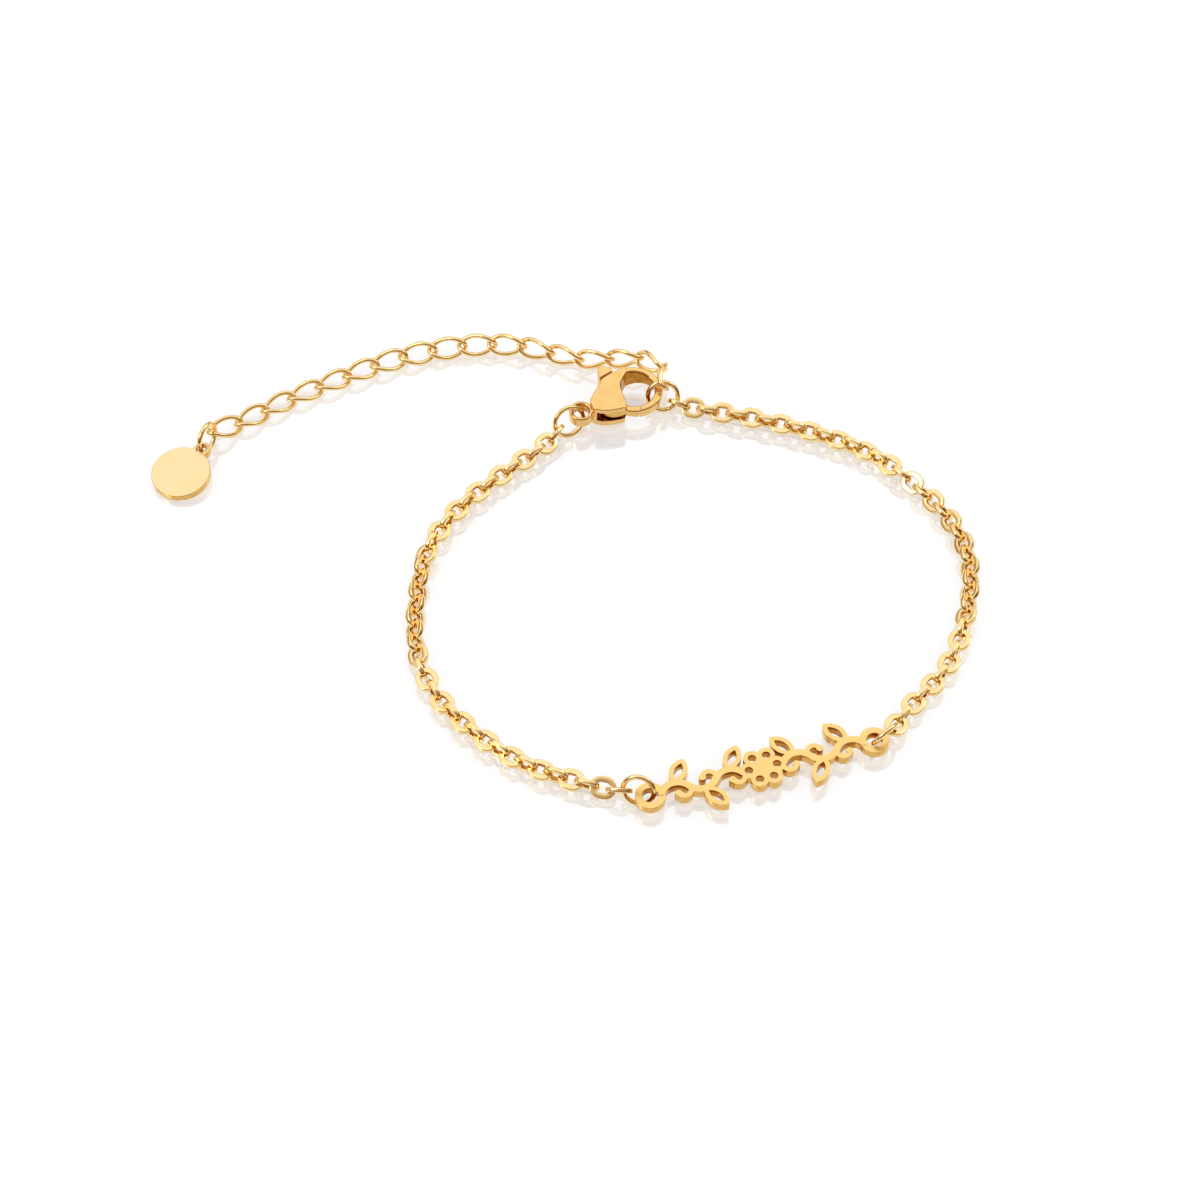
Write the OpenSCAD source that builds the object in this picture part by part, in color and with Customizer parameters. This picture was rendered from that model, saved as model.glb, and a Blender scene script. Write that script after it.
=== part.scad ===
// Nameplate bracelet lying on a flat surface: a cut sheet plate between two lengths of
// cable chain, a lobster clasp, and a curb chain extender that ends in a round disc.
// Origin at the middle of the plate's back. X runs along the plate, Z points up.

/* [Nameplate] */
// Distance between the centres of the two end eyes
plate_span = 22.3; // [20:0.1:26]
// Thickness of the sheet that the plate is cut from
plate_t = 1; // [0.8:0.1:1.1]
// Height of the plate's back above the surface, held up by its two rings
plate_lift = 0.7; // [0.7:0.05:1]
// Width of the stem
stroke_w = 0.7; // [0.6:0.05:0.8]
// Outer diameter of each end eye
eye_od = 2.9; // [2.7:0.05:3]
// Hole in each end eye
eye_hole = 1.6; // [1.6:0.05:1.8]
// Thickness of each end eye, a little less than the sheet's
eye_t = 0.9; // [0.7:0.05:0.95]
// Half waves of the stem on each side of the flower
waves = 3; // [2:1:4]
// Height of a wave's crest above the middle line
crest_h = 0.7; // [0.4:0.05:0.9]
// Width of the curls
curl_w = 0.5; // [0.4:0.05:0.6]
// Length of a leaf from tip to tip
leaf_l = 3; // [2.4:0.1:3.4]
// Width of a leaf
leaf_w = 1.7; // [1.5:0.1:2]
// Width of the rim round a leaf's opening
leaf_rim = 0.45; // [0.4:0.05:0.55]
// Lean of each leaf towards the flower
leaf_lean = 35; // [0:5:45]
// Number of petals of the flower
petals = 6; // [5:1:7]
// Outer diameter of a petal
petal_d = 1.7; // [1.5:0.05:1.9]
// Hole in a petal
petal_hole = 0.8; // [0.6:0.05:0.9]
// Distance from the flower's middle to a petal's middle
petal_r = 1.4; // [1.2:0.05:1.5]

/* [Jump rings] */
// Outer diameter of a jump ring
ring_od = 3.5; // [3.4:0.05:3.7]
// Wire of the jump rings
ring_wire = 0.5; // [0.45:0.01:0.52]
// Outer diameter of the ring in the clasp's eye
eye_ring_od = 3.7; // [3.6:0.05:3.8]
// Outer diameter of the ring that the clasp closes on
end_ring_od = 3.6; // [3.5:0.05:3.8]
// Gap between a resting ring and the surface
rest_gap = 0.01; // [0.01:0.01:0.05]

/* [Cable chain] */
// Distance from one link's middle to the next
cable_pitch = 1.54; // [1.51:0.01:1.6]
// Width of a link across the chain
cable_w = 2.2; // [2.1:0.05:2.3]
// Width of the flat wire in the plane of the link
cable_wire = 0.4; // [0.37:0.01:0.42]
// Thickness of the flat wire
cable_t = 0.41; // [0.39:0.01:0.43]
// Play between two linked bars
cable_play = 0.26; // [0.25:0.01:0.28]

/* [Extender] */
// Distance from one curb link's middle to the next
curb_pitch = 3.1; // [3:0.02:3.2]
// Width of a curb link
curb_w = 2.5; // [2.4:0.05:2.7]
// Wire of the curb links
curb_wire = 0.42; // [0.4:0.01:0.44]
// Twist of a link from end to end
curb_twist = 90; // [70:5:100]
// Play between two linked curb links
curb_play = 0.36; // [0.34:0.01:0.4]

/* [Clasp] */
// Length of the clasp from its eye to the end of its hook
clasp_l = 10.1; // [9.8:0.1:10.4]
// Thickness of the body
clasp_t = 2.6; // [2.5:0.05:2.7]
// Thickness of the hook
hook_t = 1.2; // [1.1:0.05:1.25]
// Thickness of the eye
clasp_eye_t = 1.3; // [1.2:0.05:1.4]
// Outer diameter of the eye
clasp_eye_od = 2.54; // [2.4:0.02:2.6]
// Hole in the eye
clasp_eye_hole = 1.64; // [1.6:0.01:1.7]
// Outer radius of the hook
hook_r = 2.85; // [2.8:0.01:2.9]
// Width of the hook seen from above
hook_w = 0.8; // [0.75:0.05:0.85]
// Thickness of the lever
lever_t = 0.9; // [0.8:0.05:1]
// Gap between the lever and each plate of the body
lever_gap = 0.1; // [0.08:0.01:0.15]
// Diameter of the hidden pivot pin
pin_d = 0.6; // [0.5:0.05:0.7]
// Running clearance of the lever round the pin
pin_gap = 0.03; // [0.02:0.01:0.05]
// Metal left over each end of the pin
pin_cover = 0.2; // [0.15:0.05:0.25]
// Lean of the clasp towards the plate
clasp_tilt = 3; // [2:0.5:4]
// Height of the middle of the clasp's eye above the surface
clasp_h = 1.95; // [1.9:0.01:2]

/* [Disc] */
// Diameter of the disc
disc_d = 6; // [5:0.1:8]
// Thickness of the disc
disc_t = 0.8; // [0.7:0.05:0.9]
// Tilt of the disc, propped up at its lug
disc_tilt = 7; // [6:0.5:9]
// Outer diameter of the lug
lug_od = 1.7; // [1.65:0.05:1.9]
// Hole in the lug
lug_hole = 1.12; // [1.1:0.01:1.15]

/* [Hidden] */
$fn = 48;
tiny = 0.01;
gold = [0.89, 0.68, 0.30];
pale_gold = [0.98, 0.84, 0.53];
surface = -plate_lift;

// Routes of the chains from above; the extender's third number is its height over the surface
left_route = [[-9.2, 44], [-14.5, 41.5], [-19.7, 38.5], [-23.8, 34.3], [-26.3, 29], [-27.7, 24],
              [-27.7, 18.5], [-25.8, 13.3], [-22, 7.7], [-17.3, 3.8]];
right_route = [[7.5, 44.5], [12.8, 41.5], [18, 38], [22.4, 34], [25.5, 29], [27.5, 23.5],
               [27.5, 18], [25, 12], [21, 6.5], [16, 3]];
extender_route = [[5.4, 49.6, 2.5], [3.5, 52.3, 1.8], [0.6, 53.3, 1.4], [-2.4, 54.3, 1.3], [-5, 56, 1.35],
                  [-7.7, 57.8, 1.3], [-10.9, 59, 1.25], [-13.8, 59.6, 1.15], [-20, 60, 1],
                  [-26.3, 59.2, 0.8], [-32.5, 58, 0.65], [-38.1, 56.2, 0.75]];
// Roll about the line of a chain: share of the length, degrees
left_roll = [[0, -30], [0.1, -15], [0.3, 0], [0.4, 45], [0.52, 45], [0.62, 0], [0.88, 0], [1, 40]];
right_roll = [[0, 35], [0.1, 20], [0.35, 0], [0.45, 45], [0.7, 45], [0.8, 0], [1, -10]];
extender_roll = [[0.03, -90], [0.09, -85], [0.15, -88], [0.28, -85], [0.7, 0], [0.9, 0], [1, -20]];

// Where things stand. A ring is [centre, turn of its level axis, lean from flat, radius]
ring_r = (ring_od - ring_wire) / 2;
eye_ring_r = (eye_ring_od - ring_wire) / 2;
end_ring_r = (end_ring_od - ring_wire) / 2;
half_span = plate_span / 2;
clasp_eye = [-4.3, 46.5, surface + clasp_h];
// Middle of the hook's round from the clasp's eye, and the reach of the ring in it past the hook
hook_at = [0.603, 0.115] * clasp_l;
hook_reach = 0.6;
disc_at = [-45.05, 51.4];
disc_turn = 37.5;
lug_sink = 0.2;
lug_r = disc_d / 2 + lug_hole / 2 - lug_sink;
lug_at = disc_at + lug_r * cos(disc_tilt) * [cos(disc_turn), sin(disc_turn)];
function resting_ring(at, turn, lean, r, raised = 0) =
    [[at.x, at.y, surface + rest_gap + ring_wire / 2 + r * sin(lean) + raised], turn, lean, r];
left_ring = resting_ring([-half_span - 0.9, 0.82], -30, 68, ring_r);
right_ring = resting_ring([half_span + 1.18, 0.28], 206, 70, ring_r);
eye_ring = resting_ring([clasp_eye.x - 1.42, clasp_eye.y - 0.45], 12, 70, eye_ring_r);
hook_ring = resting_ring([clasp_eye.x + hook_at.x + hook_r - hook_w + hook_reach, clasp_eye.y],
                         -18, 64, end_ring_r, 0.2);
lug_ring = resting_ring(lug_at + 0.84 * ring_r * [cos(52), sin(52)], 48, 84, ring_r);
// Where each chain holds its ring, as an angle from the ring's level axis
left_ring_hold = 190;
right_ring_hold = 195;
eye_ring_hold = 200;
hook_ring_hold = -27;
hook_ring_extender_hold = 88;
lug_ring_hold = -15;
end_gap = 0.3;

// Point on a ring's wire line at an angle from its level axis, and the angle at a height
function ring_point(ring, a) =
    ring[0] + ring[3] * cos(a) * [cos(ring[1]), sin(ring[1]), 0]
            + ring[3] * sin(a) * [-sin(ring[1]) * cos(ring[2]), cos(ring[1]) * cos(ring[2]), sin(ring[2])];
// End of a chain: a little past the wire that it holds, seen from the next point of its route
function end_at(ring, hold, from, play) =
    let (w = ring_point(ring, hold), away = [w.x - from.x, w.y - from.y])
    w + (ring_wire / 2 - play / 2 + end_gap) * [away.x, away.y, 0] / norm(away);

// Smooth line through the points of a route, and places along it
curve_steps = 10;
function curve(p0, p1, p2, p3, t) =
    0.5 * (2 * p1 + (p2 - p0) * t + (2 * p0 - 5 * p1 + 4 * p2 - p3) * pow(t, 2)
           + (3 * p1 - p0 - 3 * p2 + p3) * pow(t, 3));
function smooth_line(p) =
    let (n = len(p) - 1)
    [for (i = [0:n - 1], s = [0:curve_steps - 1])
        curve(p[max(i - 1, 0)], p[i], p[i + 1], p[min(i + 2, n)], s / curve_steps), p[n]];
function smooth_loop(p, steps = 4) =
    let (n = len(p))
    [for (i = [0:n - 1], s = [0:steps - 1])
        curve(p[(i + n - 1) % n], p[i], p[(i + 1) % n], p[(i + 2) % n], s / steps)];
function lengths(p, i = 1, out = [0]) =
    i == len(p) ? out : lengths(p, i + 1, concat(out, [out[i - 1] + norm(p[i] - p[i - 1])]));
function last(p) = p[len(p) - 1];
function at_length(p, l, s) =
    [for (c = [0:len(p[0]) - 1]) lookup(s, [for (i = [0:len(p) - 1]) [l[i], p[i][c]]])];

// Cable chains: every other link lies flat, and all keep the height that their roll gives.
// The left one has an odd number of links and the right one an even number.
function cable_z(roll) = surface + 3 * rest_gap + cable_w / 2 * cos(roll) + cable_t / 2 * abs(sin(roll));
function cable_joints(start, route, end, rolls, odd) =
    let (line = smooth_line(concat([[start.x, start.y]], route, [[end.x, end.y]])), l = lengths(line),
         n = 2 * round((last(l) / cable_pitch - odd) / 2) + odd)
    [for (k = [0:n]) let (p = at_length(line, l, k * last(l) / n))
        [p.x, p.y, k == 0 ? start.z : k == n ? end.z : cable_z(lookup(k / n, rolls))]];
left_joints = cable_joints(end_at(eye_ring, eye_ring_hold, left_route[0], cable_play), left_route,
                           end_at(left_ring, left_ring_hold, last(left_route), cable_play), left_roll, 1);
right_joints = cable_joints(end_at(hook_ring, hook_ring_hold, right_route[0], cable_play), right_route,
                            end_at(right_ring, right_ring_hold, last(right_route), cable_play),
                            right_roll, 0);

// Extender: from the top of the ring in the hook to the ring of the disc
curb_points = [for (p = extender_route) [p.x, p.y, surface + p.z]];
curb_line = smooth_line(concat(
    [end_at(hook_ring, hook_ring_extender_hold, curb_points[0], curb_play)], curb_points,
    [end_at(lug_ring, lug_ring_hold, last(curb_points), curb_play)]));
curb_lengths = lengths(curb_line);
curb_count = round(last(curb_lengths) / curb_pitch);
curb_joints = [for (k = [0:curb_count])
    at_length(curb_line, curb_lengths, k * last(curb_lengths) / curb_count)];
curb_sides = 16;
wire_sides = 6;

// Nameplate
stem_end = petal_r + (petal_d + petal_hole) / 4;
wave_l = (half_span - (eye_od + eye_hole) / 4 - stem_end) / waves;
wave_r = (pow(wave_l / 2, 2) + pow(crest_h, 2)) / (2 * crest_h);
wave_a = asin(wave_l / 2 / wave_r);
leaf_r = (pow(leaf_l, 2) + pow(leaf_w, 2)) / (4 * leaf_w);
leaf_sink = 0.1;
curl_r = wave_l * 0.24;
curl_turn = 200;
curl_dot = curl_w * 1.4;

// Clasp, in its own plane from the middle of its eye; outlines are shares of its length
pivot_at = [0.3, -0.005] * clasp_l;
hook_root_angle = 100;
gate_root_angle = -150;
// The hook and the gate part at this angle on the hook's round, along a slanting line
split_angle = -93;
split_slant = 58;
split_gap = 0.1;
hub_r = pin_d / 2 + 0.35;
pin_l = clasp_t - 2 * pin_cover;
pin_seat_gap = 0.01;
slot_t = lever_t + 2 * lever_gap;
body_outline = [[0.11, 0.06], [0.145, 0.105], [0.19, 0.16], [0.26, 0.232], [0.295, 0.285], [0.43, 0.34],
                [0.5, 0.365], [0.585, 0.38], [0.585, 0.335], [0.54, 0.29], [0.488, 0.21], [0.472, 0.12],
                [0.462, 0.02], [0.43, -0.09], [0.3, -0.07], [0.2, -0.045], [0.14, -0.03], [0.11, -0.02]];
slot_outline = [[0.2, -0.2], [0.2, 0.1], [0.15, 0.55], [0.47, 0.55], [0.465, 0.26], [0.56, 0.1],
                [0.56, -0.2]];
lever_outline = [[0.24, 0.08], [0.3, 0.25], [0.3, 0.39], [0.34, 0.465], [0.425, 0.455], [0.44, 0.38],
                 [0.38, 0.16], [0.4, 0.05], [0.41, -0.05], [0.36, -0.07], [0.25, 0]];

// Puts a piece of a chain between two of its joints
module between(a, b, roll = 0) {
    d = b - a;
    translate((a + b) / 2) rotate([0, -asin(d.z / norm(d)), atan2(d.y, d.x)])
        rotate([roll, 0, 0]) children();
}

module jump_ring(ring) {
    translate(ring[0]) rotate([0, 0, ring[1]]) rotate([ring[2], 0, 0])
        rotate_extrude() translate([ring[3], 0]) circle(d = ring_wire, $fn = 24);
}

module oblong(l, w) {
    square([l - w, w], center = true);
    for (side = [-1, 1]) translate([side * (l - w) / 2, 0]) circle(d = w);
}

module cable_link(inner_l) {
    linear_extrude(cable_t, center = true) difference() {
        oblong(inner_l + 2 * cable_wire, cable_w);
        oblong(inner_l, cable_w - 2 * cable_wire);
    }
}

module cable_chain(joints, rolls) {
    n = len(joints) - 1;
    for (k = [0:n - 1]) {
        roll = lookup((k + 0.5) / n, rolls) + (k % 2 == 0 ? 90 : 0);
        between(joints[k], joints[k + 1], roll) cable_link(norm(joints[k + 1] - joints[k]) + cable_play);
    }
}

// A curb link: an oval of round wire, twisted about its length
function curb_wire_line(t, l) =
    let (x = cos(t), y = (curb_w - curb_wire) / 2 * sin(t), turn = curb_twist / 2 * x)
    [(l + curb_play + curb_wire) / 2 * x, y * cos(turn), y * sin(turn)];
function unit(v) = v / norm(v);
function curb_section(t, l) =
    let (turn = curb_twist / 2 * cos(t), along = curb_wire_line(t + 1, l) - curb_wire_line(t - 1, l),
         side = unit(cross(along, [0, -sin(turn), cos(turn)])), up = unit(cross(side, along)))
    [for (q = [0:wire_sides - 1])
        curb_wire_line(t, l)
        + curb_wire / 2 * (cos(q * 360 / wire_sides) * side + sin(q * 360 / wire_sides) * up)];

module curb_link(l) {
    points = [for (k = [0:curb_sides - 1]) each curb_section(k * 360 / curb_sides, l)];
    function at(k, q) = (k % curb_sides) * wire_sides + q % wire_sides;
    polyhedron(points, [for (k = [0:curb_sides - 1], q = [0:wire_sides - 1])
        each [[at(k, q), at(k + 1, q + 1), at(k + 1, q)], [at(k, q), at(k, q + 1), at(k + 1, q + 1)]]]);
}

// A curved stroke of the plate with round ends
module stroke(r, a0, a1, w) {
    rotate([0, 0, a0]) rotate_extrude(angle = a1 - a0) translate([r - w / 2, 0]) square([w, plate_t]);
    for (a = [a0, a1]) rotate([0, 0, a]) translate([r, 0, 0]) cylinder(d = w, h = plate_t);
}

module leaf_side(side, rim, h) {
    translate([leaf_l / 2, side * (leaf_r - leaf_w / 2), 0]) cylinder(r = leaf_r - rim, h = h);
}

// A pointed leaf from the origin along X: where two circles overlap
module leaf_shape(rim, h) {
    intersection() {
        leaf_side(1, rim, h);
        leaf_side(-1, rim, h);
    }
}

module leaf() {
    difference() {
        leaf_shape(0, plate_t);
        translate([0, 0, -tiny]) leaf_shape(leaf_rim, plate_t + 2 * tiny);
    }
}

// From the eye inwards: a crest with its leaf, and a curl under it
module half_plate() {
    translate([half_span, 0, (plate_t - eye_t) / 2]) cylinder(d = eye_od, h = eye_t);
    for (i = [0:waves - 1])
        translate([stem_end + (waves - i - 0.5) * wave_l, 0, 0]) mirror([0, i % 2, 0]) {
            translate([0, crest_h - wave_r, 0]) stroke(wave_r, 90 - wave_a, 90 + wave_a, stroke_w);
            translate([0, crest_h - leaf_sink, 0]) rotate([0, 0, 90 + leaf_lean]) leaf();
            translate([curl_r * sin(wave_a) - wave_l / 2, -curl_r * cos(wave_a), 0]) {
                stroke(curl_r, 90 + wave_a, 90 + wave_a + curl_turn, curl_w);
                rotate([0, 0, 90 + wave_a + curl_turn]) translate([curl_r, 0, 0])
                    cylinder(d = curl_dot, h = plate_t);
            }
        }
}

module nameplate() {
    color(pale_gold) difference() {
        union() {
            half_plate();
            mirror([1, 0, 0]) half_plate();
            cylinder(r = petal_r, h = plate_t);
            for (i = [0:petals - 1]) rotate([0, 0, i * 360 / petals]) translate([petal_r, 0, 0])
                cylinder(d = petal_d, h = plate_t);
        }
        for (side = [-1, 1]) translate([side * half_span, 0, -tiny])
            cylinder(d = eye_hole, h = plate_t + 2 * tiny);
        for (i = [0:petals - 1]) rotate([0, 0, i * 360 / petals]) translate([petal_r, 0, -tiny])
            cylinder(d = petal_hole, h = plate_t + 2 * tiny);
    }
}

module plate_ring_left() { color(gold) jump_ring(left_ring); }
module plate_ring_right() { color(gold) jump_ring(right_ring); }
module clasp_ring() { color(gold) jump_ring(eye_ring); }
module end_ring() { color(gold) jump_ring(hook_ring); }
module disc_ring() { color(gold) jump_ring(lug_ring); }

module chain_left() { color(gold) cable_chain(left_joints, left_roll); }
module chain_right() { color(gold) cable_chain(right_joints, right_roll); }

module extender_chain() {
    color(gold) for (k = [0:curb_count - 1])
        between(curb_joints[k], curb_joints[k + 1], lookup((k + 0.5) / curb_count, extender_roll))
            curb_link(norm(curb_joints[k + 1] - curb_joints[k]));
}

module in_clasp() {
    translate(clasp_eye) rotate([clasp_tilt, 0, 0]) children();
}

// A stretch of the hook's round, as thick as given
module hook_stretch(a0, a1, t) {
    translate(hook_at) rotate([0, 0, a0]) rotate_extrude(angle = a1 - a0)
        translate([hook_r - hook_w, -t / 2]) square([hook_w, t]);
}

// What lies on one side of the split, up to its gap
module past_split(side) {
    translate(hook_at) rotate([0, 0, split_angle]) translate([hook_r - hook_w / 2, 0, -hook_t])
        rotate([0, 0, split_slant - split_angle])
            translate([-2 * hook_w, side > 0 ? -split_gap / 2 : split_gap / 2 - 2 * hook_w, 0])
                cube([4 * hook_w, 2 * hook_w, 2 * hook_t]);
}

module clasp_body() {
    color(gold) in_clasp() difference() {
        union() {
            translate([0, 0, -clasp_eye_t / 2]) cylinder(d = clasp_eye_od, h = clasp_eye_t);
            linear_extrude(clasp_t, center = true) polygon(smooth_loop(body_outline * clasp_l));
            difference() {
                hook_stretch(split_angle - 20, hook_root_angle, hook_t);
                past_split(1);
            }
        }
        translate([0, 0, -clasp_t]) cylinder(d = clasp_eye_hole, h = 2 * clasp_t);
        linear_extrude(slot_t, center = true) polygon(slot_outline * clasp_l);
        translate([pivot_at.x, pivot_at.y, -pin_l / 2 - pin_seat_gap])
            cylinder(d = pin_d + 2 * pin_seat_gap, h = pin_l + 2 * pin_seat_gap);
    }
}

module clasp_lever() {
    color(gold) in_clasp() difference() {
        union() {
            linear_extrude(lever_t, center = true) polygon(smooth_loop(lever_outline * clasp_l));
            difference() {
                hook_stretch(gate_root_angle, split_angle + 20, lever_t);
                past_split(-1);
            }
            translate([pivot_at.x, pivot_at.y, -lever_t / 2]) cylinder(r = hub_r, h = lever_t);
        }
        translate([pivot_at.x, pivot_at.y, -lever_t]) cylinder(d = pin_d + 2 * pin_gap, h = 2 * lever_t);
    }
}

module clasp_pin() {
    color(gold) in_clasp() translate([pivot_at.x, pivot_at.y, -pin_l / 2]) cylinder(d = pin_d, h = pin_l);
}

// The disc touches the surface at the edge away from its lug
module disc_charm() {
    color(pale_gold)
        translate([disc_at.x, disc_at.y, surface + rest_gap + disc_d / 2 * sin(disc_tilt)])
        rotate([0, 0, disc_turn]) rotate([0, -disc_tilt, 0]) difference() {
            union() {
                cylinder(d = disc_d, h = disc_t, $fn = 96);
                translate([lug_r, 0, 0]) cylinder(d = lug_od, h = disc_t);
            }
            translate([lug_r, 0, -tiny]) cylinder(d = lug_hole, h = disc_t + 2 * tiny);
        }
}

nameplate();
plate_ring_left();
plate_ring_right();
chain_left();
chain_right();
clasp_ring();
clasp_body();
clasp_lever();
clasp_pin();
end_ring();
extender_chain();
disc_ring();
disc_charm();
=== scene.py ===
# Gold bracelet lying closed on a white surface: cut plate in front, cable chains, lobster clasp,
# curb extender with its disc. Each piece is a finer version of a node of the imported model.
import math

import bmesh
import bpy
import numpy as np
from mathutils import Matrix, Vector
from mathutils.bvhtree import BVHTree


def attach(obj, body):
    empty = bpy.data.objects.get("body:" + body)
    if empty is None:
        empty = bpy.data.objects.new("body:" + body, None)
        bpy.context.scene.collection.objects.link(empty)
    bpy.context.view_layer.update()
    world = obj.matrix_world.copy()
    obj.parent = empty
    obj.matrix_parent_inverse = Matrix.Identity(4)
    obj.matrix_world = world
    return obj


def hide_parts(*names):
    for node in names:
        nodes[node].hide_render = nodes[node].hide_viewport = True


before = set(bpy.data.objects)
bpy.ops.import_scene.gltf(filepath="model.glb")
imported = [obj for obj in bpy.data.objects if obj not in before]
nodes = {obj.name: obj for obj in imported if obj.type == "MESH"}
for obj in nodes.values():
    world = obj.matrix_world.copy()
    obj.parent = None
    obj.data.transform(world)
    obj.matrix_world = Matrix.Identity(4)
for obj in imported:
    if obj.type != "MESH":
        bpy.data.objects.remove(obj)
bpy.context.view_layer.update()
scene = bpy.context.scene
mm = 0.001  # pieces are modelled in millimetres, and become metres when they are finished
surfaceZ = -0.7
touching = 1e-5  # in mm: vertices of a new shape that are nearer than this are one
nodeTouching = 1e-7  # in m: the same for the loose triangles of a node
print("frame loaded:", len(nodes), "nodes")


# Camera
cameraSet = {
    "lens": 100.0,
    "sensor": 36.0,
    "distance": 329.0,
    "elevation": 53.0,
    "azimuth": -16.5,  # turn of the view about the vertical
    "aim": (-8.80, 24.54, surfaceZ),
    "clip": (0.01, 5.0),  # in metres
}


def placeCamera():
    up, turn = math.radians(cameraSet["elevation"]), math.radians(cameraSet["azimuth"])
    towards = Vector((math.sin(turn) * math.cos(up), -math.cos(turn) * math.cos(up), math.sin(up)))
    place = Vector(cameraSet["aim"]) + cameraSet["distance"] * towards
    data = bpy.data.cameras.new("camera")
    data.lens = cameraSet["lens"]
    data.sensor_width = cameraSet["sensor"]
    data.clip_start, data.clip_end = cameraSet["clip"]
    camera = bpy.data.objects.new("camera", data)
    scene.collection.objects.link(camera)
    camera.location = place * mm
    camera.rotation_euler = towards.to_track_quat("Z", "Y").to_euler()
    scene.camera = camera


placeCamera()
scene.view_settings.view_transform = "Standard"
print("camera placed")


# Studio
studio = {
    "floorLight": 1.14,  # even light that the floor and other matt surfaces get
    "floorGlow": 1.04,  # brightness of the light that comes up through the acrylic
    "floorGlowShare": 0.6,
    "floorSize": 1600.0,
    "floorWhite": 0.93,
    "floorGloss": 0.22,
    "floorRoughness": 0.08,
    # What polished metal sees: a warm dark band above the floor, a bright top, a dimmer near side
    "band": 0.38,
    "darkTint": (1.0, 0.5, 0.13),
    "tintEnds": (0.12, 0.9),  # brightnesses between which the tint fades out
    "top": 1.1,
    "bandEnds": (0.12, 0.6),
    "nearSide": 0.36,
    "nearEnds": (-0.6, 0.25),
}
softBoxes = [
    # name, middle from the bracelet, size, brightness
    ("left", (-330, -40, 330), (110, 220), 3.2),
    ("right", (360, 60, 300), (70, 200), 2.6),
]


def lightStudio():
    world = bpy.data.worlds.new("studio")
    scene.world = world
    world.use_nodes = True
    tree = world.node_tree
    back = tree.nodes["Background"]
    place = tree.nodes.new("ShaderNodeTexCoord")
    parts = tree.nodes.new("ShaderNodeSeparateXYZ")
    tree.links.new(place.outputs["Generated"], parts.inputs["Vector"])
    ranges = []
    for source, ends, low, high in (("Z", studio["bandEnds"], studio["band"], studio["top"]),
                                    ("Y", studio["nearEnds"], studio["nearSide"], 1.0)):
        ramp = tree.nodes.new("ShaderNodeMapRange")
        ramp.interpolation_type = "SMOOTHSTEP"
        ramp.inputs["From Min"].default_value, ramp.inputs["From Max"].default_value = ends
        ramp.inputs["To Min"].default_value, ramp.inputs["To Max"].default_value = low, high
        tree.links.new(parts.outputs[source], ramp.inputs["Value"])
        ranges.append(ramp.outputs["Result"])
    seen = tree.nodes.new("ShaderNodeMath")
    seen.operation = "MULTIPLY"
    tree.links.new(ranges[0], seen.inputs[0])
    tree.links.new(ranges[1], seen.inputs[1])
    path = tree.nodes.new("ShaderNodeLightPath")
    which = tree.nodes.new("ShaderNodeMix")
    which.data_type = "FLOAT"
    which.inputs["B"].default_value = studio["floorLight"]
    tree.links.new(path.outputs["Is Diffuse Ray"], which.inputs["Factor"])
    tree.links.new(seen.outputs["Value"], which.inputs["A"])
    tree.links.new(which.outputs["Result"], back.inputs["Strength"])
    # The tint fades out where it is bright, and matt surfaces get none of it
    fade = tree.nodes.new("ShaderNodeMapRange")
    fade.inputs["From Min"].default_value, fade.inputs["From Max"].default_value = studio["tintEnds"]
    tree.links.new(seen.outputs["Value"], fade.inputs["Value"])
    untinted = tree.nodes.new("ShaderNodeMath")
    untinted.operation = "MAXIMUM"
    tree.links.new(fade.outputs["Result"], untinted.inputs[0])
    tree.links.new(path.outputs["Is Diffuse Ray"], untinted.inputs[1])
    tint = tree.nodes.new("ShaderNodeValToRGB")
    tint.color_ramp.elements[0].color = (*studio["darkTint"], 1)
    tint.color_ramp.elements[1].color = (1, 1, 1, 1)
    tree.links.new(untinted.outputs["Value"], tint.inputs["Fac"])
    tree.links.new(tint.outputs["Color"], back.inputs["Color"])
    middle = Vector(cameraSet["aim"])
    for name, offset, size, brightness in softBoxes:
        data = bpy.data.lights.new(name, "AREA")
        data.shape = "RECTANGLE"
        data.size, data.size_y = size[0] * mm, size[1] * mm
        data.energy = brightness * math.pi * data.size * data.size_y
        light = bpy.data.objects.new(name, data)
        light.visible_diffuse = False
        scene.collection.objects.link(light)
        light.location = (middle + Vector(offset)) * mm
        light.rotation_euler = Vector(offset).to_track_quat("Z", "Y").to_euler()


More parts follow.
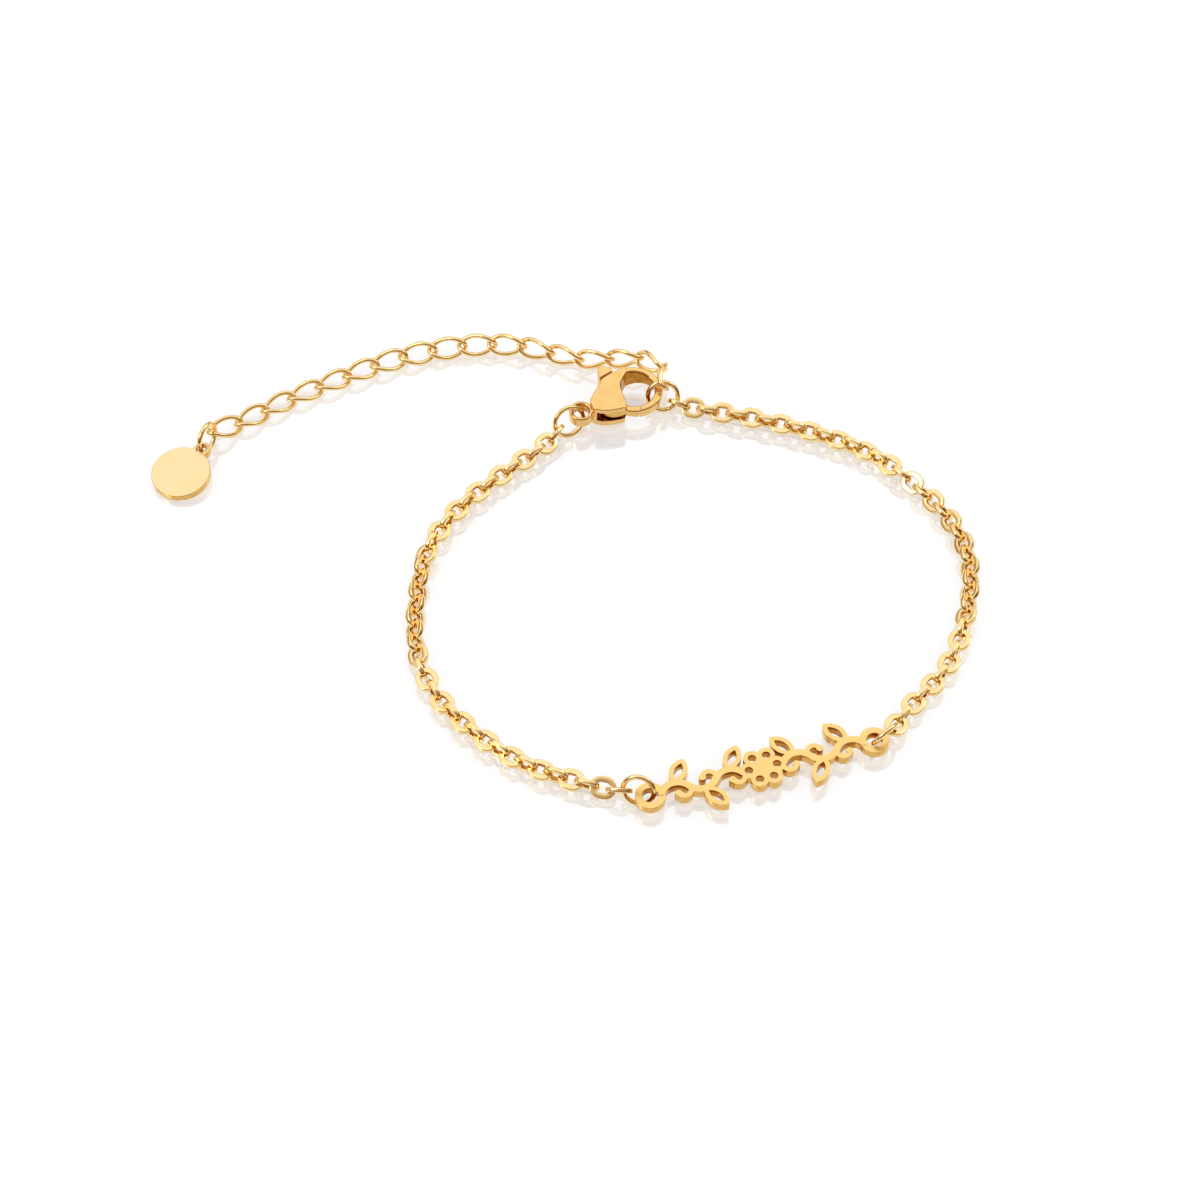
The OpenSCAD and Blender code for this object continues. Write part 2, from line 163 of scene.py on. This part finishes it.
def layFloor():
    bm = bmesh.new()
    bmesh.ops.create_grid(bm, x_segments=1, y_segments=1, size=studio["floorSize"] / 2)
    bmesh.ops.translate(bm, vec=(*cameraSet["aim"][:2], surfaceZ), verts=bm.verts[:])
    bmesh.ops.scale(bm, vec=(mm, mm, mm), verts=bm.verts[:])
    mesh = bpy.data.meshes.new("floor")
    bm.to_mesh(mesh)
    bm.free()
    floor = bpy.data.objects.new("floor", mesh)
    scene.collection.objects.link(floor)
    acrylic = bpy.data.materials.new("whiteAcrylic")
    acrylic.use_nodes = True
    tree = acrylic.node_tree
    tree.nodes.clear()
    out = tree.nodes.new("ShaderNodeOutputMaterial")
    lit = tree.nodes.new("ShaderNodeMixShader")
    mix = tree.nodes.new("ShaderNodeMixShader")
    white = tree.nodes.new("ShaderNodeBsdfDiffuse")
    glow = tree.nodes.new("ShaderNodeEmission")
    gloss = tree.nodes.new("ShaderNodeBsdfGlossy")
    lit.inputs["Fac"].default_value = studio["floorGlowShare"]
    glow.inputs["Strength"].default_value = studio["floorGlow"]
    mix.inputs["Fac"].default_value = studio["floorGloss"]
    white.inputs["Color"].default_value = (*(studio["floorWhite"],) * 3, 1)
    gloss.inputs["Color"].default_value = (1, 1, 1, 1)
    gloss.inputs["Roughness"].default_value = studio["floorRoughness"]
    tree.links.new(white.outputs["BSDF"], lit.inputs[1])
    tree.links.new(glow.outputs["Emission"], lit.inputs[2])
    tree.links.new(lit.outputs["Shader"], mix.inputs[1])
    tree.links.new(gloss.outputs["BSDF"], mix.inputs[2])
    tree.links.new(mix.outputs["Shader"], out.inputs["Surface"])
    mesh.materials.append(acrylic)


lightStudio()
layFloor()
print("studio lit")


# Gold finishes, and the painted shade of walls in holes and hollows
mottleEnds = (0.35, 0.65)  # the stretch of the mottling's noise over which tone and roughness change
mottleDetail = 3.0
grainDetail = 2.0
finishes = {
    # two tones of the colour, two roughnesses, size of the mottling in mm, bump depth in mm, grain in mm
    "polishedGold": {"tones": ((1.0, 0.78, 0.40), (0.98, 0.72, 0.32)), "rough": (0.1, 0.17),
                     "mottle": 0.9, "bump": 0.0005, "grain": 0.12},
    "satinGold": {"tones": ((0.96, 0.68, 0.26), (0.93, 0.64, 0.23)), "rough": (0.30, 0.36),
                  "mottle": 1.6, "bump": 0.0010, "grain": 0.05},
    "paleGold": {"tones": ((0.97, 0.77, 0.43), (0.95, 0.73, 0.38)), "rough": (0.30, 0.38),
                 "mottle": 1.8, "bump": 0.0012, "grain": 0.06},
    "castGold": {"tones": ((0.92, 0.61, 0.24), (0.88, 0.56, 0.20)), "rough": (0.17, 0.24),
                 "mottle": 1.2, "bump": 0.0008, "grain": 0.09},
    # Walls of cut sheet: a cut finish, made darker than the faces as painted shade; the lever's arm inside
    # the clasp gets it only as painted shade
    "cutAndShadeGold": {"tones": ((0.86, 0.55, 0.18), (0.76, 0.45, 0.12)), "rough": (0.16, 0.26),
                "mottle": 0.5, "bump": 0.0015, "grain": 0.08},
    # Painted shade: dark brown that stands in for the shade in holes, hollows and the clasp's slot
    "paintedShadeGold": {"tones": ((0.68, 0.32, 0.05), (0.42, 0.17, 0.02)), "rough": (0.18, 0.3),
                  "mottle": 0.7, "bump": 0.0015, "grain": 0.08},
}


def goldFinish(name):
    look = finishes[name]
    material = bpy.data.materials.new(name)
    material.use_nodes = True
    tree = material.node_tree
    shader = tree.nodes["Principled BSDF"]
    shader.inputs["Metallic"].default_value = 1.0
    place = tree.nodes.new("ShaderNodeTexCoord")
    mottle = tree.nodes.new("ShaderNodeTexNoise")
    mottle.inputs["Scale"].default_value = 1 / (look["mottle"] * mm)
    mottle.inputs["Detail"].default_value = mottleDetail
    tree.links.new(place.outputs["Object"], mottle.inputs["Vector"])
    tones = tree.nodes.new("ShaderNodeValToRGB")
    tones.color_ramp.elements[0].position, tones.color_ramp.elements[1].position = mottleEnds
    tones.color_ramp.elements[0].color = (*look["tones"][1], 1)
    tones.color_ramp.elements[1].color = (*look["tones"][0], 1)
    tree.links.new(mottle.outputs["Fac"], tones.inputs["Fac"])
    tree.links.new(tones.outputs["Color"], shader.inputs["Base Color"])
    rough = tree.nodes.new("ShaderNodeMapRange")
    rough.inputs["From Min"].default_value, rough.inputs["From Max"].default_value = mottleEnds
    rough.inputs["To Min"].default_value, rough.inputs["To Max"].default_value = look["rough"]
    tree.links.new(mottle.outputs["Fac"], rough.inputs["Value"])
    tree.links.new(rough.outputs["Result"], shader.inputs["Roughness"])
    grain = tree.nodes.new("ShaderNodeTexNoise")
    grain.inputs["Scale"].default_value = 1 / (look["grain"] * mm)
    grain.inputs["Detail"].default_value = grainDetail
    tree.links.new(place.outputs["Object"], grain.inputs["Vector"])
    bump = tree.nodes.new("ShaderNodeBump")
    bump.inputs["Strength"].default_value = 1.0
    bump.inputs["Distance"].default_value = look["bump"] * mm
    tree.links.new(grain.outputs["Fac"], bump.inputs["Height"])
    tree.links.new(bump.outputs["Normal"], shader.inputs["Normal"])
    return material


gold = {name: goldFinish(name) for name in finishes}
print("finishes mixed")


# Shared steps
def nodeShape(name):
    bm = bmesh.new()
    bm.from_mesh(nodes[name].data)
    bmesh.ops.remove_doubles(bm, verts=bm.verts[:], dist=nodeTouching)
    bmesh.ops.scale(bm, vec=(1 / mm,) * 3, verts=bm.verts[:])
    return bm


def finishPiece(bm, node, materials, body="bracelet", sharpAngle=40):
    for face in bm.faces:
        face.smooth = True
    for edge in bm.edges:
        edge.smooth = not edge.is_manifold or edge.calc_face_angle(0) < math.radians(sharpAngle)
    bmesh.ops.scale(bm, vec=(mm, mm, mm), verts=bm.verts[:])
    name = node + "_finish"
    mesh = bpy.data.meshes.new(name)
    bm.to_mesh(mesh)
    bm.free()
    for material in materials:
        mesh.materials.append(gold[material])
    piece = bpy.data.objects.new(name, mesh)
    scene.collection.objects.link(piece)
    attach(piece, body)
    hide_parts(node)
    return piece


def loosePoses(name):
    # For every loose solid of a node, a matrix that puts its long, wide and thin axes in place,
    # and its half sizes along them
    bm = nodeShape(name)
    poses = []
    for vert in bm.verts:
        vert.tag = False
    for vert in bm.verts:
        if vert.tag:
            continue
        vert.tag = True
        shell, waiting = [vert], [vert]
        while waiting:
            for edge in waiting.pop().link_edges:
                for other in edge.verts:
                    if not other.tag:
                        other.tag = True
                        shell.append(other)
                        waiting.append(other)
        points = np.array([v.co for v in shell], float)
        middle = points.mean(0)
        axes = np.linalg.eigh(np.cov((points - middle).T))[1][:, ::-1]
        if np.linalg.det(axes) < 0:
            axes[:, 2] *= -1
        along = (points - middle) @ axes
        low, high = along.min(0), along.max(0)
        middle = middle + axes @ ((low + high) / 2)
        pose = Matrix([[*axes[i], middle[i]] for i in range(3)] + [[0, 0, 0, 1]])
        poses.append((pose, (high - low) / 2))
    bm.free()
    return poses


def addCopies(target, template, pose, shift=0.0):
    # One copy of a template, its two halves moved apart along X by the shift, in its place
    copy = template.copy()
    for vert in copy.verts:
        vert.co.x += shift if vert.co.x > 0 else -shift
    bmesh.ops.transform(copy, matrix=pose, verts=copy.verts[:])
    mesh = bpy.data.meshes.new("copy")
    copy.to_mesh(mesh)
    copy.free()
    target.from_mesh(mesh)
    bpy.data.meshes.remove(mesh)


def roundedSection(bm, width, height, rounding, segments):
    # A flat rounded rectangle in the XZ plane at the origin
    made = bmesh.ops.create_grid(bm, x_segments=1, y_segments=1, size=0.5)["verts"]
    bmesh.ops.scale(bm, vec=(width, height, 1), verts=made)
    bmesh.ops.bevel(bm, geom=made, offset=rounding, offset_type="OFFSET", segments=segments,
                    profile=0.5, affect="VERTICES", material=-1)
    bmesh.ops.rotate(bm, cent=(0, 0, 0), matrix=Matrix.Rotation(math.pi / 2, 3, "X"), verts=bm.verts[:])


# Cable chains
cableSet = {
    "wire": 0.58,  # across the flat
    "thick": 0.47,
    "width": 2.2,
    "rounding": 0.1,
    "roundSteps": 3,
    "turnSteps": 28,
    "paintedShadeShare": 0.8,  # a face that looks at the link's middle more squarely than this is painted in shade, as dark as the shade inside the link's hole
}


def cableTemplate():
    bm = bmesh.new()
    roundedSection(bm, cableSet["wire"], cableSet["thick"], cableSet["rounding"], cableSet["roundSteps"])
    radius = (cableSet["width"] - cableSet["wire"]) / 2
    steps = cableSet["turnSteps"]
    bmesh.ops.translate(bm, vec=(radius, 0, 0), verts=bm.verts[:])
    bmesh.ops.rotate(bm, cent=(0, 0, 0), matrix=Matrix.Rotation(math.pi / steps, 3, "Z"), verts=bm.verts[:])
    bmesh.ops.delete(bm, geom=bm.faces[:], context="FACES_ONLY")
    bmesh.ops.spin(bm, geom=bm.verts[:] + bm.edges[:], cent=(0, 0, 0), axis=(0, 0, 1),
                   angle=2 * math.pi, steps=steps, use_merge=True)
    bmesh.ops.remove_doubles(bm, verts=bm.verts[:], dist=touching)
    bmesh.ops.recalc_face_normals(bm, faces=bm.faces[:])
    # The walls round each link's hole are painted in shade (slot 1)
    for face in bm.faces:
        middle = face.calc_center_median()
        paintedShadeFace = -face.normal.dot(middle) > cableSet["paintedShadeShare"] * middle.length
        face.material_index = 1 if paintedShadeFace else 0
    return bm


def makeCableChain(node):
    template = cableTemplate()
    chain = bmesh.new()
    for pose, half in loosePoses(node):
        addCopies(chain, template, pose, half[0] - cableSet["width"] / 2)
    template.free()
    finishPiece(chain, node, ["polishedGold", "paintedShadeGold"])


makeCableChain("chain_left")
makeCableChain("chain_right")
print("cable chains made")


# Curb extender
curbSet = {
    "wire": 0.48,
    "width": 2.5,
    "twist": 90.0,  # from one end of the link to the other
    "wireSides": 12,
    "turnSteps": 44,
    "nearby": 0.01,  # in radians: the wire's direction is taken between the places this far to either side
}


def curbTemplate(halfLength):
    # A ring of round wire, drawn out to an oval and twisted about its length
    bm = bmesh.new()
    bmesh.ops.create_circle(bm, radius=curbSet["wire"] / 2, segments=curbSet["wireSides"])
    bmesh.ops.rotate(bm, cent=(0, 0, 0), matrix=Matrix.Rotation(math.pi / 2, 3, "X"), verts=bm.verts[:])
    bmesh.ops.translate(bm, vec=(1, 0, 0), verts=bm.verts[:])
    bmesh.ops.spin(bm, geom=bm.verts[:] + bm.edges[:], cent=(0, 0, 0), axis=(0, 0, 1),
                   angle=2 * math.pi, steps=curbSet["turnSteps"], use_merge=True)
    bmesh.ops.remove_doubles(bm, verts=bm.verts[:], dist=touching)
    reach = halfLength - curbSet["wire"] / 2
    halfWidth = (curbSet["width"] - curbSet["wire"]) / 2

    def twistAt(angle):
        return math.radians(curbSet["twist"] / 2) * math.cos(angle)

    def wireLine(angle):
        across = halfWidth * math.sin(angle)
        twist = twistAt(angle)
        return Vector((reach * math.cos(angle), across * math.cos(twist), across * math.sin(twist)))

    for vert in bm.verts:
        angle = math.atan2(vert.co.y, vert.co.x)
        twist = twistAt(angle)
        along = wireLine(angle + curbSet["nearby"]) - wireLine(angle - curbSet["nearby"])
        side = along.cross(Vector((0, -math.sin(twist), math.cos(twist)))).normalized()
        above = side.cross(along).normalized()
        outward = math.hypot(vert.co.x, vert.co.y) - 1
        vert.co = wireLine(angle) + outward * side + vert.co.z * above
    bmesh.ops.recalc_face_normals(bm, faces=bm.faces[:])
    return bm


def makeExtender():
    chain = bmesh.new()
    for pose, half in loosePoses("extender_chain"):
        template = curbTemplate(half[0])
        addCopies(chain, template, pose)
        template.free()
    finishPiece(chain, "extender_chain", ["polishedGold"])


makeExtender()
print("extender made")


# Jump rings
ringSet = {
    "wire": 0.5,
    "sides": 16,
    "steps": 72,
    "seam": 0.02,  # gap between the ends of the wire
    "seamEdge": 0.03,  # bevel round the ends of the wire
    "seamSteps": 2,
}
seamTurns = {  # where each ring's seam is, in degrees from its highest point
    "plate_ring_left": 200,
    "plate_ring_right": 150,
    "clasp_ring": 140,
    "end_ring": 215,
    "disc_ring": 160,
}


def makeRing(node):
    pose, half = loosePoses(node)[0]
    radius = half[0] - ringSet["wire"] / 2
    bm = bmesh.new()
    bmesh.ops.create_circle(bm, radius=ringSet["wire"] / 2, segments=ringSet["sides"], cap_ends=True)
    bmesh.ops.rotate(bm, cent=(0, 0, 0), matrix=Matrix.Rotation(math.pi / 2, 3, "X"), verts=bm.verts[:])
    bmesh.ops.translate(bm, vec=(radius, 0, 0), verts=bm.verts[:])
    seam = ringSet["seam"] / radius
    bmesh.ops.spin(bm, geom=bm.verts[:] + bm.edges[:] + bm.faces[:], cent=(0, 0, 0), axis=(0, 0, 1),
                   angle=2 * math.pi - seam, steps=ringSet["steps"], use_merge=False)
    bmesh.ops.remove_doubles(bm, verts=bm.verts[:], dist=touching)
    # Only the two caps at the wire's ends have more than four corners
    ends = [edge for edge in bm.edges if any(len(face.verts) > 4 for face in edge.link_faces)]
    bmesh.ops.bevel(bm, geom=ends, offset=ringSet["seamEdge"], offset_type="OFFSET",
                    segments=ringSet["seamSteps"], profile=0.5, affect="EDGES", material=-1)
    bmesh.ops.recalc_face_normals(bm, faces=bm.faces[:])
    # The ring's X axis is turned to its highest point, and the seam from there
    normal = pose.to_3x3().col[2].normalized()
    high = (Vector((0, 0, 1)) - normal.z * normal).normalized()
    upright = Matrix((high, normal.cross(high), normal)).transposed().to_4x4()
    turn = Matrix.Rotation(math.radians(seamTurns[node]), 4, "Z")
    bmesh.ops.transform(bm, matrix=Matrix.Translation(pose.translation) @ upright @ turn, verts=bm.verts[:])
    finishPiece(bm, node, ["polishedGold"])


for ringName in seamTurns:
    makeRing(ringName)
print("jump rings made")


# Plate and disc
sheetSet = {
    # rounding of the rims in mm and its steps, the shortest edge that is kept, the turn and tilt of the flat
    # faces, and the finish of faces, of walls (cut, and darker as painted shade), and of walls with another
    # wall nearer than the gap in mm (painted shade)
    "nameplate": {"edge": 0.06, "steps": 2, "least": 0.03, "turn": 0.0, "tilt": 0.0, "gap": 1.6,
                  "finish": ("satinGold", "cutAndShadeGold", "paintedShadeGold")},
    "disc_charm": {"edge": 0.1, "steps": 3, "least": 0.01, "turn": 37.5, "tilt": -7.0, "gap": 1.3,
                   "finish": ("paleGold", "cutAndShadeGold", "paintedShadeGold")},
}
sheetTests = {
    "flat": 0.5,  # in degrees: faces that turn by less than this become one
    "rim": 50,  # in degrees: edges that turn by more than this are rounded
    "face": 0.98,  # the least that the normal of the sheet's two faces points out of its plane
    "wall": 0.1,  # the most that the normal of an upright wall does
    "start": 0.02,  # in mm: how far off the wall the look across starts
}


def makeSheetPiece(node):
    look = sheetSet[node]
    faceNormal = Matrix.Rotation(math.radians(look["turn"]), 3, "Z") @ Matrix.Rotation(
        math.radians(look["tilt"]), 3, "Y") @ Vector((0, 0, 1))
    bm = nodeShape(node)
    bmesh.ops.remove_doubles(bm, verts=bm.verts[:], dist=look["least"])
    bmesh.ops.dissolve_limit(bm, angle_limit=math.radians(sheetTests["flat"]), verts=bm.verts[:],
                             edges=bm.edges[:])
    rimAngle = math.radians(sheetTests["rim"])
    rims = [edge for edge in bm.edges if edge.is_manifold and edge.calc_face_angle(0) > rimAngle]
    bmesh.ops.bevel(bm, geom=rims, offset=look["edge"], offset_type="OFFSET", segments=look["steps"],
                    profile=0.5, affect="EDGES", clamp_overlap=True, material=-1)
    bm.faces.ensure_lookup_table()
    walls = BVHTree.FromBMesh(bm)
    # Walls are cut and darker as painted shade (slot 1); upright walls that face another wall nearby are
    # painted in deeper shade (slot 2)
    for face in bm.faces:
        flatness = abs(face.normal.dot(faceNormal))
        face.material_index = 0 if flatness > sheetTests["face"] else 1
        if flatness < sheetTests["wall"]:
            start = face.calc_center_median() + sheetTests["start"] * face.normal
            if walls.ray_cast(start, face.normal, look["gap"])[0] is not None:
                face.material_index = 2
    piece = finishPiece(bm, node, look["finish"])
    even = piece.modifiers.new("even", "WEIGHTED_NORMAL")
    even.keep_sharp = True


for sheetNode in sheetSet:
    makeSheetPiece(sheetNode)
print("plate and disc made")


# Clasp
claspSet = {
    "eye": (-4.3, 46.5, 1.25),  # the middle of the clasp's eye
    "lean": 3.0,  # turn about the clasp's length, in degrees
    "thick": 2.6,
    "bodyRounding": 0.3,
    "eyeMiddle": 1.045,  # radius of the middle of the eye's rim
    "eyeRim": 0.45,
    "eyeThick": 1.3,
    "hookAt": (6.09, 1.16),
    "hookMiddle": 2.45,  # radius of the middle of the hook's band
    "hookWide": 0.8,
    "hookThick": ((-95, 1.2), (-10, 1.25), (30, 1.5), (70, 2.05), (100, 2.5)),  # at angles round the hook
    "gateThick": ((-150, 0.9), (-90, 1.1)),
    "bandRounding": 0.2,
    "bandRoundSteps": 3,
    "bandStep": 5.0,  # in degrees
    "bandSteps": 12,  # at the least
    "hookSquash": 0.91,  # of the far half of the hook's round
    "split": -93.0,
    "splitGap": 0.1,
    "splitSlant": -0.555,  # shift along the band for each mm outwards
    "slantParts": 4,  # a slant fades out over one of this many parts of its stretch of band
    "slotHigh": 1.3,
    "slotAt": 0.12,  # height of the middle of the slot over the middle of the body
    "leverThick": 0.95,
    "leverAt": 0.24,  # height of the middle of the lever's arm over the middle of the body
    "leverRounding": 0.12,
    "tabThick": 2.5,
    "tabRounding": 0.25,
    "roundSteps": 4,
    "grid": 0.05,  # of the remeshing that joins the shapes
    "soften": 0.5,
    "softenSteps": 4,
}
claspTests = {
    # Which walls of the clasp are painted in shade, as dark as the shade in its hook, eye and slot: lengths
    # in mm, and parts of a wall's normal
    "inHook": 0.28,  # the walls further in from the middle of the hook's band than this
    "inEye": 0.14,  # and of the eye's rim
    "wall": 0.5,  # the most that the normal of such a wall rises
    "slotPlay": 0.01,
    "slotAlong": (1.3, 4.9),  # the stretch of the slot whose inside is painted in shade
    "slotFace": 0.9,  # the least that the normal of its floor and roof rises
    "slotEnd": 0.5,  # the least that the normal of its end wall points along the clasp
    "slotEndAlong": 2.3,
    "arm": (4.5, 0.3),  # the lever's arm is inside the body up to here
    "armWall": 0.6,
}
# Outlines in the clasp's own plane, in mm from the middle of its eye
bodyOutline = [
    (1.11, 0.61), (1.46, 1.06), (1.92, 1.62), (2.63, 2.34), (2.98, 2.88), (4.34, 3.43), (5.0, 3.6),
    (5.7, 3.7), (5.8, 3.3), (5.45, 2.85), (4.82, 2.1), (4.58, 1.25), (4.6, 0.35), (4.6, -0.5),
    (4.38, -1.2), (4.15, -1.35), (3.1, -1.32), (2.1, -1.15), (1.5, -0.85), (1.11, -0.5),
]
slotOutline = [
    (1.3, -2.02), (1.55, 0.2), (2.02, 1.01), (1.52, 5.56), (4.75, 5.56), (4.7, 2.63), (5.66, 1.01),
    (5.66, -2.02),
]
tabOutline = [
    (2.85, 3.12), (2.88, 3.8), (3.12, 4.5), (3.65, 4.45), (4.25, 4.15), (4.42, 3.85), (4.35, 3.62),
    (3.65, 3.34),
]
leverOutline = [
    (2.3, 0.7), (2.85, 2.3), (3.03, 3.6), (3.35, 4.1), (4.1, 4.0), (4.2, 3.5), (3.84, 1.62),
    (4.2, 0.6), (4.6, -0.2), (4.62, -0.85), (4.2, -1.22), (3.3, -1.25), (2.55, -0.95), (2.1, -0.3),
]


def paintedShadeWall(middle, normal):
    # True on the walls inside the hook, the eye and the slot, which are painted in shade as dark as the shade
    # in these hollows
    look, test = claspSet, claspTests
    fromHook = middle - Vector((*look["hookAt"], middle.z))
    inHook = fromHook.length < look["hookMiddle"] - test["inHook"] and normal.dot(fromHook) < 0
    inEye = math.hypot(middle.x, middle.y) < look["eyeMiddle"] - test["inEye"]
    if abs(normal.z) < test["wall"] and (inHook or inEye):
        return True
    inSlot = abs(middle.z - look["slotAt"]) < look["slotHigh"] / 2 + test["slotPlay"]
    if not inSlot or not test["slotAlong"][0] < middle.x < test["slotAlong"][1]:
        return False
    atEnd = normal.x > test["slotEnd"] and middle.x < test["slotEndAlong"]
    return abs(normal.z) > test["slotFace"] or atEnd


def leverWall(middle, normal):
    # True on the walls of the lever's arm inside the body, which are painted darker as the shade inside the
    # body
    inBody = middle.x < claspTests["arm"][0] and middle.y < claspTests["arm"][1]
    return abs(normal.z) < claspTests["armWall"] and inBody


def curvedLoop(points, steps=4):
    # A smooth closed line through the points, with this many steps from each to the next
    loop, count = [], len(points)
    for i in range(count):
        before, start, end, after = (Vector(points[(i + k) % count]) for k in (-1, 0, 1, 2))
        for k in range(steps):
            t = k / steps
            loop.append(0.5 * (2 * start + (end - before) * t
                               + (2 * before - 5 * start + 4 * end - after) * t ** 2
                               + (3 * start - before - 3 * end + after) * t ** 3))
    return loop


def slab(outline, thick, rounding):
    bm = bmesh.new()
    face = bm.faces.new([bm.verts.new((x, y, -thick / 2)) for x, y in outline])
    top = bmesh.ops.extrude_face_region(bm, geom=[face])["geom"]
    bmesh.ops.translate(bm, vec=(0, 0, thick), verts=[v for v in top if isinstance(v, bmesh.types.BMVert)])
    bmesh.ops.recalc_face_normals(bm, faces=bm.faces[:])
    if rounding:
        rims = [edge for edge in bm.edges if abs(edge.verts[0].co.z - edge.verts[1].co.z) < touching]
        bmesh.ops.bevel(bm, geom=rims, offset=rounding, offset_type="OFFSET", segments=claspSet["roundSteps"],
                        profile=0.5, affect="EDGES", clamp_overlap=True, material=-1)
    return bm


def thickAt(places, angle):
    return float(np.interp(angle, [p[0] for p in places], [p[1] for p in places]))


def band(start, end, wide, thick, middle, tipSlant=(0.0, 0.0)):
    # A stretch of a round band about the Z axis, or all of it, whose thickness goes by the angle.
    # Its two ends can slant across it.
    bm = bmesh.new()
    full = end - start == 360
    roundedSection(bm, wide, 1.0, claspSet["bandRounding"], claspSet["bandRoundSteps"])
    bmesh.ops.translate(bm, vec=(middle, 0, 0), verts=bm.verts[:])
    steps = max(claspSet["bandSteps"], round((end - start) / claspSet["bandStep"]))
    if full:
        bmesh.ops.delete(bm, geom=bm.faces[:], context="FACES_ONLY")
    bmesh.ops.spin(bm, geom=bm.verts[:] + bm.edges[:] + bm.faces[:], cent=(0, 0, 0), axis=(0, 0, 1),
                   angle=math.radians(end - start), steps=steps, use_merge=full)
    bmesh.ops.remove_doubles(bm, verts=bm.verts[:], dist=touching)
    parts = claspSet["slantParts"]
    for vert in bm.verts:
        radius = math.hypot(vert.co.x, vert.co.y)
        turned = math.degrees(math.atan2(vert.co.y, vert.co.x)) % 360
        turned = 0 if turned > 359.9 else turned  # where the band starts, a hair under 0 is 0
        part = parts * turned / (end - start)
        slant = tipSlant[0] * max(0, 1 - part) + tipSlant[1] * max(0, part - (parts - 1))
        angle = math.radians(start + turned) + slant * (radius - middle) / middle
        vert.co = Vector((radius * math.cos(angle), radius * math.sin(angle),
                          vert.co.z * thickAt(thick, start + turned)))
    bmesh.ops.recalc_face_normals(bm, faces=bm.faces[:])
    return bm


def squashed(bm):
    for vert in bm.verts:
        if vert.co.y > 0:
            vert.co.y *= claspSet["hookSquash"]
    return bm


def moved(bm, place, height=0.0):
    bmesh.ops.translate(bm, vec=(*place, height), verts=bm.verts[:])
    return bm


def looseObject(name, shapes):
    joined = bmesh.new()
    for shape in shapes:
        mesh = bpy.data.meshes.new(name)
        shape.to_mesh(mesh)
        shape.free()
        joined.from_mesh(mesh)
        bpy.data.meshes.remove(mesh)
    mesh = bpy.data.meshes.new(name)
    joined.to_mesh(mesh)
    joined.free()
    thing = bpy.data.objects.new(name, mesh)
    scene.collection.objects.link(thing)
    return thing


def castTogether(name, shapes, paintedShadeTest, cutter=None):
    # Joins the shapes into one skin, softens it, cuts the cutter out, marks the walls that are painted in
    # shade, and puts it in its place
    thing = looseObject(name, shapes)
    skin = thing.modifiers.new("skin", "REMESH")
    skin.mode = "VOXEL"
    skin.voxel_size = claspSet["grid"]
    soften = thing.modifiers.new("soften", "SMOOTH")
    soften.factor = claspSet["soften"]
    soften.iterations = claspSet["softenSteps"]
    knife = None
    if cutter:
        knife = looseObject(name + "Cut", [cutter])
        cut = thing.modifiers.new("cut", "BOOLEAN")
        cut.operation = "DIFFERENCE"
        cut.solver = "EXACT"
        cut.object = knife
    evaluated = thing.evaluated_get(bpy.context.evaluated_depsgraph_get())
    bm = bmesh.new()
    bm.from_mesh(evaluated.data)
    for face in bm.faces:
        face.material_index = 1 if paintedShadeTest(face.calc_center_median(), face.normal) else 0
    for spare in (thing, knife):
        if spare:
            mesh = spare.data
            bpy.data.objects.remove(spare)
            bpy.data.meshes.remove(mesh)
    inPlace = Matrix.Translation(claspSet["eye"]) @ Matrix.Rotation(math.radians(claspSet["lean"]), 4, "X")
    bmesh.ops.transform(bm, matrix=inPlace, verts=bm.verts[:])
    return bm


def makeClasp():
    look = claspSet
    halfGap = math.degrees(look["splitGap"] / 2 / look["hookMiddle"])
    hookEnd, gateStart = look["hookThick"][-1][0], look["gateThick"][0][0]
    hook = moved(squashed(band(look["split"] + halfGap, hookEnd, look["hookWide"], look["hookThick"],
                               look["hookMiddle"], (look["splitSlant"], 0.0))), look["hookAt"])
    eye = band(0, 360, look["eyeRim"], ((0, look["eyeThick"]), (360, look["eyeThick"])), look["eyeMiddle"])
    body = slab(curvedLoop(bodyOutline), look["thick"], look["bodyRounding"])
    slot = moved(slab(slotOutline, look["slotHigh"], 0), (0, 0), look["slotAt"])
    finishPiece(castTogether("body", [body, hook, eye], paintedShadeWall, slot), "clasp_body",
                ["castGold", "paintedShadeGold"], sharpAngle=50)
    gate = moved(band(gateStart, look["split"] - halfGap, look["hookWide"], look["gateThick"],
                      look["hookMiddle"], (0.0, look["splitSlant"])), look["hookAt"])
    arm = moved(slab(curvedLoop(leverOutline), look["leverThick"], look["leverRounding"]),
                (0, 0), look["leverAt"])
    tab = slab(curvedLoop(tabOutline), look["tabThick"], look["tabRounding"])
    finishPiece(castTogether("lever", [arm, tab, gate], leverWall), "clasp_lever", ["castGold", "cutAndShadeGold"],
                body="lever", sharpAngle=50)
    finishPiece(nodeShape("clasp_pin"), "clasp_pin", ["castGold"])


makeClasp()
print("clasp made")
